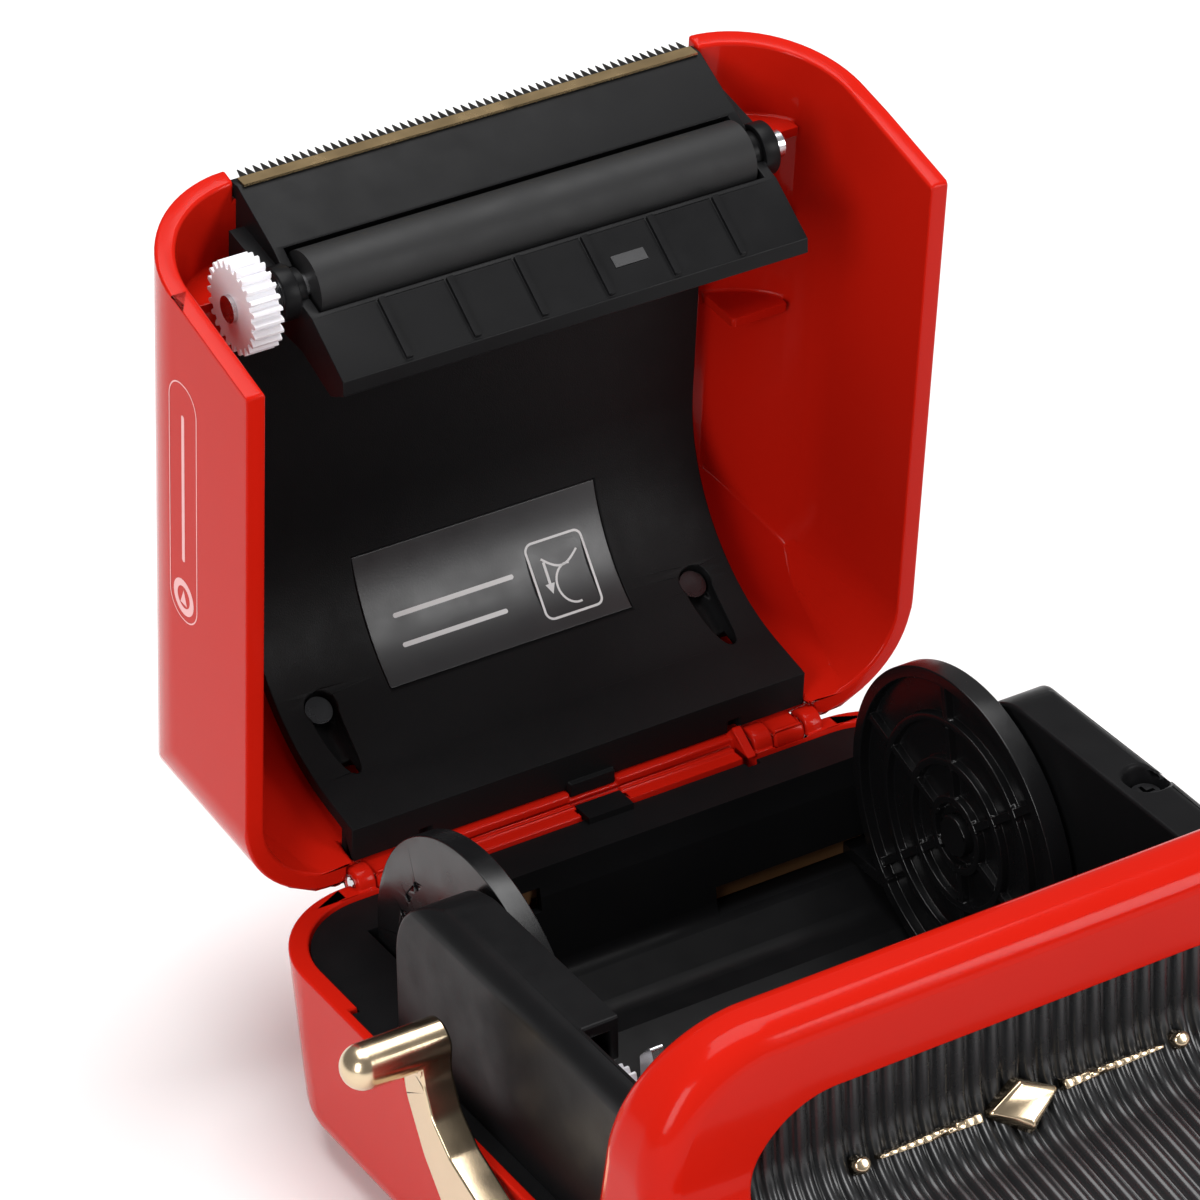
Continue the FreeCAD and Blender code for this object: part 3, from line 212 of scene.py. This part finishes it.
def soften(node, width, segments=3, angle=28.0, reshape=None, where=None):
    """Detailed stand-in for a CAD node: rounded edges, weighted normals, nothing outside the node's own skin.

    where(v) may limit the rounding to edges whose ends, in mm from the hinge, it accepts.
    """
    mesh = bpy.data.meshes.new(node + "_soft")
    bm = bmesh.new()
    bm.from_mesh(frame["nodes"][node].data)
    bmesh.ops.remove_doubles(bm, verts=bm.verts, dist=2e-6)
    bmesh.ops.dissolve_degenerate(bm, edges=bm.edges, dist=1e-5)
    if reshape:
        reshape(bm)
    skin = BVHTree.FromBMesh(bm)
    weight = bm.edges.layers.float.new("bevel_weight_edge")
    for edge in bm.edges:
        if len(edge.link_faces) == 2 and edge.calc_face_angle(0) > math.radians(angle):
            ends = [v.co / MM - HINGE for v in edge.verts]
            rounded = where is None or all(where(v) for v in ends)
            edge[weight] = 1.0 if rounded else 0.0
            edge.smooth = rounded
    for face in bm.faces:
        face.smooth = True
        face.material_index = 0
    bm.to_mesh(mesh)
    bm.free()
    obj = add_piece(node + "_soft", mesh, [look_of[node]], body_of[node], (node,))
    bevel = obj.modifiers.new("round", "BEVEL")
    bevel.width = width * MM
    bevel.segments = segments
    bevel.limit_method = "WEIGHT"
    bevel.use_clamp_overlap = False
    shade = obj.modifiers.new("normals", "WEIGHTED_NORMAL")
    shade.keep_sharp = True
    baked(obj)
    for vert in obj.data.vertices:
        near, normal, index, gap = skin.find_nearest(vert.co)
        if gap > width * MM * 0.6:
            vert.co = near
    return obj


def lid_point(x, y, z):
    """A point drawn with the lid shut, mm from the hinge, in world metres with the lid open."""
    return (LID_TURN @ Vector((x, y, z)) + HINGE) * MM


def tub_point(x, y, z):
    return (Vector((x, y, z)) + HINGE) * MM


def rounded_path(points, radii, steps=8):
    """Closed 2-D outline with rounded corners."""
    out = []
    count = len(points)
    for i, (px, py) in enumerate(points):
        here = Vector((px, py))
        a = (Vector(points[i - 1]) - here).normalized()
        b = (Vector(points[(i + 1) % count]) - here).normalized()
        r = radii[i] if not isinstance(radii, (int, float)) else radii
        if r <= 0:
            out.append((px, py))
            continue
        half = math.acos(max(-1, min(1, a.dot(b)))) / 2
        reach = r / math.tan(half)
        centre = here + (a + b).normalized() * (r / math.sin(half))
        start = here + a * reach - centre
        end = here + b * reach - centre
        turn = start.angle_signed(end)
        for k in range(steps + 1):
            t = turn * k / steps
            c, s = math.cos(-t), math.sin(-t)
            out.append((centre.x + start.x * c - start.y * s, centre.y + start.x * s + start.y * c))
    return out


def ribbon(bm, points, width, closed, place, lift=0.02):
    """Thin printed line along 2-D points, laid on a surface by place(a, b, height)."""
    count = len(points)
    rows = []
    for i in range(count):
        here = Vector(points[i])
        before = Vector(points[i - 1]) if closed or i else here
        after = Vector(points[(i + 1) % count]) if closed or i < count - 1 else here
        along = after - before
        along = along.normalized() if along.length > 1e-9 else Vector((1, 0))
        side = Vector((-along.y, along.x)) * width / 2
        left = bm.verts.new(place(*(here + side), lift))
        right = bm.verts.new(place(*(here - side), lift))
        rows.append((left, right))
    spans = count if closed else count - 1
    for i in range(spans):
        a, b = rows[i], rows[(i + 1) % count]
        bm.faces.new((a[0], a[1], b[1], b[0]))


def disc_fill(bm, points, place, lift=0.02):
    """Filled printed shape, fanned from its middle."""
    mid = sum((Vector(p) for p in points), Vector((0, 0))) / len(points)
    hub = bm.verts.new(place(*mid, lift))
    rim = [bm.verts.new(place(*p, lift)) for p in points]
    for i in range(len(rim)):
        bm.faces.new((hub, rim[i - 1], rim[i]))


def finish_mesh(bm, name, smooth=True):
    bmesh.ops.recalc_face_normals(bm, faces=bm.faces)
    for face in bm.faces:
        face.smooth = smooth
    mesh = bpy.data.meshes.new(name)
    bm.to_mesh(mesh)
    bm.free()
    return mesh


# ---------------------------------------------------------------- softened pieces
SOFT = {
    "lid_shell": 0.40, "gear_cover": 0.4,
    "side_housing": 0.4, "cutter_carrier": 0.12, "inner_cover": 0.2, "info_plate": 0.08,
    "release_lever": 0.35,
    "guide_right": 0.14, "guide_left": 0.14, "base_cover": 0.2,
}
for node, width in SOFT.items():
    soften(node, width)
soften("body_shell", 0.30, where=lambda v: v.z > -4.0)


# the bezel's front face and the scoop below it, side-on, mm from the hinge
FACE_TOP = Vector((-81.0, 30.0))
FACE_FOOT = Vector((-81.6, 9.2))
TOE_TOP = Vector((-102.6, 5.6))
SCOOP_R = 8.5
BEZEL_HALF = 42.5
BEZEL_TOP = 30.0
CROWN_R = 14.5
FRONT_ROUND = 3.3
FACE_UP = (FACE_TOP - FACE_FOOT).normalized()
FACE_IN = Vector((FACE_UP.y, -FACE_UP.x))


def scoop_circle():
    """Middle of the scoop's curve, and the height where the flat face above it begins."""
    ahead = (TOE_TOP - FACE_FOOT).normalized()
    half = math.acos(FACE_UP.dot(ahead)) / 2
    middle = FACE_FOOT + (FACE_UP + ahead).normalized() * (SCOOP_R / math.sin(half))
    return middle, (FACE_FOOT + FACE_UP * (SCOOP_R / math.tan(half))).y


def outer_side(face):
    """Faces of the bezel's crown and flanks, that run front to back."""
    x, y, z = face.calc_center_median() / MM - HINGE
    if abs(face.normal.y) > 0.2 or z < 0.5:
        return False
    out_x = max(abs(x) - BEZEL_HALF + CROWN_R, 0)
    out_z = max(z - BEZEL_TOP + CROWN_R, 0)
    return max(math.hypot(out_x, out_z), out_x, out_z) > CROWN_R - 0.2


def round_front(bm):
    """Rolls the bezel's front face over into its crown and sides, fading out down the scoop."""
    middle, flat_low = scoop_circle()
    fade_low = flat_low - 7.5
    cuts = []
    for k in range(1, 11):
        depth = FRONT_ROUND * (1 - math.cos(k * math.pi / 20))
        spot = FACE_FOOT + FACE_IN * depth
        cuts.append(((0, spot.x, spot.y), (0, FACE_IN.x, FACE_IN.y)))
    height = fade_low
    while height < flat_low + 3:
        cuts.append(((0, 0, height), (0, 0, 1)))
        height += 0.5
    for spot, normal in cuts:
        faces = [f for f in bm.faces if outer_side(f)]
        edges = list({e for f in faces for e in f.edges})
        verts = list({v for f in faces for v in f.verts})
        bmesh.ops.bisect_plane(bm, geom=verts + edges + faces, dist=1e-7,
                               plane_co=tub_point(*spot), plane_no=normal)
    for vert in bm.verts:
        x, y, z = vert.co / MM - HINGE
        if z < fade_low:
            continue
        out_x = max(abs(x) - BEZEL_HALF + CROWN_R, 0)
        out_z = max(z - BEZEL_TOP + CROWN_R, 0)
        if out_x > 0 and out_z > 0:
            reach = math.hypot(out_x, out_z)
            inset = CROWN_R - reach
            inward = Vector((-math.copysign(out_x, x), 0, -out_z)) / reach
        elif out_z > 0:
            inset = BEZEL_TOP - z
            inward = Vector((0, 0, -1))
        else:
            inset = BEZEL_HALF - abs(x)
            inward = Vector((-math.copysign(1, x), 0, 0))
        if abs(inset) > 0.03:
            continue
        here = Vector((y, z))
        depth = (here - FACE_FOOT).dot(FACE_IN) if z >= flat_low else (here - middle).length - SCOOP_R
        share = min((z - fade_low) / (flat_low - fade_low), 1.0)
        radius = FRONT_ROUND * share * share * (3 - 2 * share)
        if -0.02 < depth < radius:
            drop = radius - max(depth, 0)
            vert.co += inward * (radius - math.sqrt(radius ** 2 - drop ** 2)) * MM


def bezel_opening(v):
    """Around the ribbed panel's opening."""
    return abs(v.x) < 33.5 and v.y < -78.0 and v.z > 1.5


soften("front_bezel", 0.5, reshape=round_front, where=bezel_opening)

# ---------------------------------------------------------------- power button, turned with a soft shoulder
BUTTON_Y = -84.0
BUTTON_Z = -9.0
button_out = max(v.co.x for v in frame["nodes"]["power_button"].data.vertices) / MM - HINGE.x
# radius and distance behind the outer face, mm
BUTTON_SIDE = [(0.0, 0.0), (1.2, 0.01), (2.2, 0.04), (2.8, 0.11), (3.2, 0.24), (3.45, 0.45),
               (3.57, 0.7), (3.6, 1.0), (3.6, 3.45), (4.5, 3.45), (4.5, 4.3), (0.0, 4.3)]
TURNS = 56
button = bmesh.new()
rings = []
for radius, back in BUTTON_SIDE:
    if radius == 0:
        rings.append([button.verts.new(tub_point(button_out - back, BUTTON_Y, BUTTON_Z))] * TURNS)
        continue
    rings.append([button.verts.new(tub_point(button_out - back,
                                             BUTTON_Y + radius * math.cos(2 * math.pi * k / TURNS),
                                             BUTTON_Z + radius * math.sin(2 * math.pi * k / TURNS)))
                  for k in range(TURNS)])
for a, b in zip(rings, rings[1:]):
    for k in range(TURNS):
        corners = [a[k - 1], a[k], b[k], b[k - 1]]
        button.faces.new(list(dict.fromkeys(corners)))
button_mesh = finish_mesh(button, "button_turned")
button_mesh.set_sharp_from_angle(angle=math.radians(40))
add_piece("button_turned", button_mesh, [GOLD], "button", ("power_button",))

# ---------------------------------------------------------------- backs of the stop tab slots
backs = bmesh.new()
BACK_LOW = -3.7
BACK_HIGH = -0.06
for middle in (-19.8, 19.8):
    near = middle - 1.0
    far = middle + 1.0
    corners = rounded_path([(near, BACK_LOW), (far, BACK_LOW), (far, BACK_HIGH), (near, BACK_HIGH)], 0.25, 4)
    front = [backs.verts.new(tub_point(a, -0.02, b)) for a, b in corners]
    rear = [backs.verts.new(tub_point(a, 0.5, b)) for a, b in corners]
    backs.faces.new(front)
    backs.faces.new(list(reversed(rear)))
    for i in range(len(corners)):
        backs.faces.new((front[i - 1], rear[i - 1], rear[i], front[i]))
add_piece("slot_backs", finish_mesh(backs, "slot_backs", False), [RED], "tub")

# ---------------------------------------------------------------- ribbed front panel
PITCH = 2.05
RIBS = 31
PANEL_HALF = 33.2


def panel_line():
    """Side-on line of the panel's groove floor, from under the top edge to the toe."""
    pts = [Vector((-79.2, 22.6)), Vector((-80.2, 7.9)), Vector((-101.2, 4.25))]
    a = (pts[0] - pts[1]).normalized()
    b = (pts[2] - pts[1]).normalized()
    half = math.acos(a.dot(b)) / 2
    r = 8.0
    centre = pts[1] + (a + b).normalized() * (r / math.sin(half))
    start = pts[1] + a * (r / math.tan(half))
    end = pts[1] + b * (r / math.tan(half))
    line = [pts[0].lerp(start, k / 8) for k in range(8)]
    first = start - centre
    turn = first.angle_signed(end - centre)
    for k in range(25):
        t = -turn * k / 24
        line.append(centre + Vector((first.x * math.cos(t) - first.y * math.sin(t),
                                     first.x * math.sin(t) + first.y * math.cos(t))))
    line += [end.lerp(pts[2], k / 10) for k in range(1, 11)]
    return line


line = panel_line()
bm = bmesh.new()
per_rib = 14
columns = [(-PANEL_HALF) + 2 * PANEL_HALF * i / (RIBS * per_rib + 8) for i in range(RIBS * per_rib + 9)]
grid = []
for k, p in enumerate(line):
    before = line[max(k - 1, 0)]
    after = line[min(k + 1, len(line) - 1)]
    along = (after - before).normalized()
    out = Vector((along.y, -along.x))
    if out.x > 0:
        out = -out
    row = []
    for x in columns:
        phase = (x / PITCH + 0.5) % 1.0 - 0.5
        reach = abs(phase) * PITCH / 0.74
        lift = 0.85 * math.sqrt(1 - reach ** 2) if reach < 1 else 0.0
        q = p + out * lift
        row.append(bm.verts.new(tub_point(x, q.x, q.y)))
    grid.append(row)
for k in range(len(grid) - 1):
    for i in range(len(columns) - 1):
        bm.faces.new((grid[k][i], grid[k][i + 1], grid[k + 1][i + 1], grid[k + 1][i]))
panel_mesh = finish_mesh(bm, "ribbed_panel")
add_piece("ribbed_panel", panel_mesh, [GRILLE], "tub", ("front_grille",))

# ---------------------------------------------------------------- gold ornament on the ribs
def on_panel(x, z, lift):
    """A point over the ribbed panel: x across, z up the panel, lift out from the groove floor, mm."""
    for p, q in zip(line, line[1:]):
        if p.y >= z >= q.y:
            share = (p.y - z) / max(p.y - q.y, 1e-9)
            out = Vector(((q - p).y, -(q - p).x)).normalized()
            out = out if out.x < 0 else -out
            spot = p.lerp(q, share) + out * lift
            return tub_point(x, spot.x, spot.y)
    raise ValueError("outside the panel")


def raised(bm, points, low, high, soft=0.35):
    """Raised gold shape over 2-D points, with a stepped round shoulder."""
    mid = sum((Vector(p) for p in points), Vector((0, 0))) / len(points)
    rings = []
    for inset, height in ((0.0, low), (0.0, high - soft), (soft * 0.3, high - soft * 0.3), (soft, high)):
        ring = []
        for p in points:
            away = mid - Vector(p)
            q = Vector(p) + away.normalized() * min(inset, away.length * 0.5)
            ring.append(bm.verts.new(on_panel(q.x, q.y, height)))
        rings.append(ring)
    for a, b in zip(rings, rings[1:]):
        for i in range(len(a)):
            bm.faces.new((a[i - 1], a[i], b[i], b[i - 1]))
    bm.faces.new(rings[-1])
    bm.faces.new(list(reversed(rings[0])))


BADGE_Z = 10.4
BEAD_X = 19.2
BEAD_R = 0.95
gold = bmesh.new()
for side in (-1, 1):
    for k in range(12):
        x0 = side * (5.0 + k)
        x1 = side * (5.0 + k + 1.02)
        half0 = 0.55 - 0.030 * k
        half1 = 0.55 - 0.030 * (k + 1)
        bar = [(x0, BADGE_Z - half0), (x1, BADGE_Z - half1), (x1, BADGE_Z + half1), (x0, BADGE_Z + half0)]
        raised(gold, bar, 0.6, 2.0, 0.12)
    bead = []
    for t in range(16):
        a = t * math.pi / 8
        bead.append((side * BEAD_X + BEAD_R * math.cos(a), BADGE_Z + BEAD_R * math.sin(a)))
    raised(gold, bead, 0.6, 2.3)
lozenge = rounded_path([(-4.6, BADGE_Z), (0, BADGE_Z - 2.7), (4.6, BADGE_Z), (0, BADGE_Z + 2.7)], 0.5, 5)
raised(gold, lozenge, 0.6, 2.2, 0.6)
gold_mesh = finish_mesh(gold, "gold_ornament")
add_piece("gold_ornament", gold_mesh, [GOLD], "tub", ("badge_ornament",))

# ---------------------------------------------------------------- tear blade: gold band and dark teeth
BLADE_HALF = 27.8
TOOTH = 0.93
count = int(2 * BLADE_HALF / TOOTH)
first = -count * TOOTH / 2
band = bmesh.new()
section = [(-72.60, 27.5), (-72.62, 28.9), (-72.86, 29.05), (-72.88, 27.5)]
ends = []
for x in (-BLADE_HALF, BLADE_HALF):
    ends.append([band.verts.new(lid_point(x, y, z)) for y, z in section])
for i in range(4):
    band.faces.new((ends[0][i - 1], ends[0][i], ends[1][i], ends[1][i - 1]))
band.faces.new(ends[0])
band.faces.new(list(reversed(ends[1])))
band_mesh = finish_mesh(band, "blade_band", False)
add_piece("blade_band", band_mesh, [BLADE], "lid", ("tear_blade",))


def tooth_ring(x0, x1, y0, y1, z):
    return [(x0, y0, z), (x1, y0, z), (x1, y1, z), (x0, y1, z)]


teeth = bmesh.new()
for i in range(count):
    x = first + i * TOOTH
    root = tooth_ring(x + 0.02, x + TOOTH - 0.02, -72.84, -72.66, 28.95)
    waist = tooth_ring(x + 0.10, x + TOOTH - 0.10, -72.83, -72.67, 29.4)
    tip = tooth_ring(x + TOOTH / 2 - 0.06, x + TOOTH / 2 + 0.06, -72.77, -72.73, 30.55)
    rings = [[teeth.verts.new(lid_point(*p)) for p in ring] for ring in (root, waist, tip)]
    for a, b in ((0, 1), (1, 2)):
        for k in range(4):
            teeth.faces.new((rings[a][k - 1], rings[a][k], rings[b][k], rings[b][k - 1]))
    teeth.faces.new(rings[0])
    teeth.faces.new(rings[2])
add_piece("blade_teeth", finish_mesh(teeth, "blade_teeth", False), [TEETH], "lid")

# ---------------------------------------------------------------- generic print on info plate and lid side
ARCH_Y = -28.8
ARCH_Z = 4.45
ARCH_R = 22.1


def on_plate(a, b, lift):
    """a along x, b along the arch from its lower edge, mm."""
    angle = math.radians(30.0) + b / ARCH_R
    r = ARCH_R - lift
    return lid_point(a, ARCH_Y + r * math.cos(angle), ARCH_Z + r * math.sin(angle))


ink = bmesh.new()
frame_box = rounded_path([(5.4, 2.6), (12.6, 2.6), (12.6, 11.4), (5.4, 11.4)], 0.9)
ribbon(ink, frame_box, 0.28, True, on_plate)
curl = [(7.0 + 4.6 * t, 9.4 - 1.3 * math.sin(math.pi * t)) for t in [k / 16 for k in range(17)]]
ribbon(ink, curl, 0.26, False, on_plate)
roll_edge = []
for d in range(80, 281, 10):
    roll_edge.append((9.9 + 1.9 * math.cos(math.radians(d)), 5.9 + 2.3 * math.sin(math.radians(d))))
ribbon(ink, roll_edge, 0.26, False, on_plate)
ribbon(ink, [(7.2, 9.0), (7.2, 6.2)], 0.34, False, on_plate)
disc_fill(ink, [(6.6, 6.5), (7.2, 5.3), (7.8, 6.5)], on_plate)
for row, (left, right) in enumerate(((-12.2, 3.2), (-12.2, 1.2))):
    base = 8.3 - 3.4 * row
    high = base + 0.55
    disc_fill(ink, rounded_path([(left, base), (right, base), (right, high), (left, high)], 0.27),
              on_plate)
add_piece("plate_print", finish_mesh(ink, "plate_print", False), [PRINT], "lid")


def on_side(a, b, lift):
    """a along the lid's length from the hinge, b up from the rim, on the left outer wall."""
    return lid_point(-42.5 - lift, -a, b)


ink = bmesh.new()
outline = rounded_path([(31.0, 10.9), (60.8, 10.9), (60.8, 16.7), (31.0, 16.7)], 2.7, 12)
ribbon(ink, outline, 0.16, True, on_side)
ring = []
for d in range(0, 360, 12):
    ring.append((33.9 + 1.75 * math.cos(math.radians(d)), 13.8 + 1.75 * math.sin(math.radians(d))))
ribbon(ink, ring, 0.85, True, on_side)
disc_fill(ink, [(33.0, 13.1), (34.8, 13.8), (33.0, 14.5)], on_side)
disc_fill(ink, rounded_path([(38.5, 13.5), (57.0, 13.5), (57.0, 14.1), (38.5, 14.1)], 0.29), on_side)
add_piece("side_print", finish_mesh(ink, "side_print", False), [PINK_PRINT], "lid")

# ---------------------------------------------------------------- floor, light, camera
floor_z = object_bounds()[0][2]
bm = bmesh.new()
bmesh.ops.create_grid(bm, x_segments=8, y_segments=8, size=3.0)
floor_mesh = bpy.data.meshes.new("floor")
bm.to_mesh(floor_mesh)
bm.free()
floor = bpy.data.objects.new("floor", floor_mesh)
floor.location.z = floor_z
floor_mesh.materials.append(FLOOR)
bpy.context.collection.objects.link(floor)

scene = bpy.context.scene
scene.view_settings.view_transform = "Standard"
world = bpy.data.worlds.new("studio")
scene.world = world
world.use_nodes = True
world.node_tree.nodes["Background"].inputs["Color"].default_value = (1.0, 1.0, 1.0, 1)
world.node_tree.nodes["Background"].inputs["Strength"].default_value = 0.25


def softbox(name, place, target, width, height, power):
    light = bpy.data.lights.new(name, "AREA")
    light.shape = "RECTANGLE"
    light.size = width
    light.size_y = height
    light.energy = power
    obj = bpy.data.objects.new(name, light)
    obj.location = place
    obj.rotation_euler = (Vector(target) - Vector(place)).to_track_quat("-Z", "Y").to_euler()
    bpy.context.collection.objects.link(obj)
    return obj


softbox("key_left", (-0.75, -0.45, 0.45), (0, 0, 0.04), 0.30, 0.55, 5.0)
softbox("top", (0.05, 0.15, 0.9), (0, 0, 0.03), 0.7, 0.7, 9.0)
softbox("front_right", (0.55, -0.75, 0.45), (0, -0.02, 0.03), 0.25, 0.5, 4.0)

AZIMUTH = math.radians(-31.31)
ELEVATION = math.radians(32.19)
ROLL = math.radians(-0.64)
camera = bpy.data.cameras.new("camera")
camera.sensor_width = 36.0
camera.lens = 180.0
camera.clip_start = 0.05
camera.clip_end = 20
eye = bpy.data.objects.new("camera", camera)
tilt = Matrix.Rotation(math.pi / 2 - ELEVATION, 4, "X")
turn = Matrix.Rotation(AZIMUTH, 4, "Z") @ tilt @ Matrix.Rotation(ROLL, 4, "Z")
eye.matrix_world = Matrix.Translation((-0.28184, -0.41455, 0.39407)) @ turn
bpy.context.collection.objects.link(eye)
scene.camera = eye
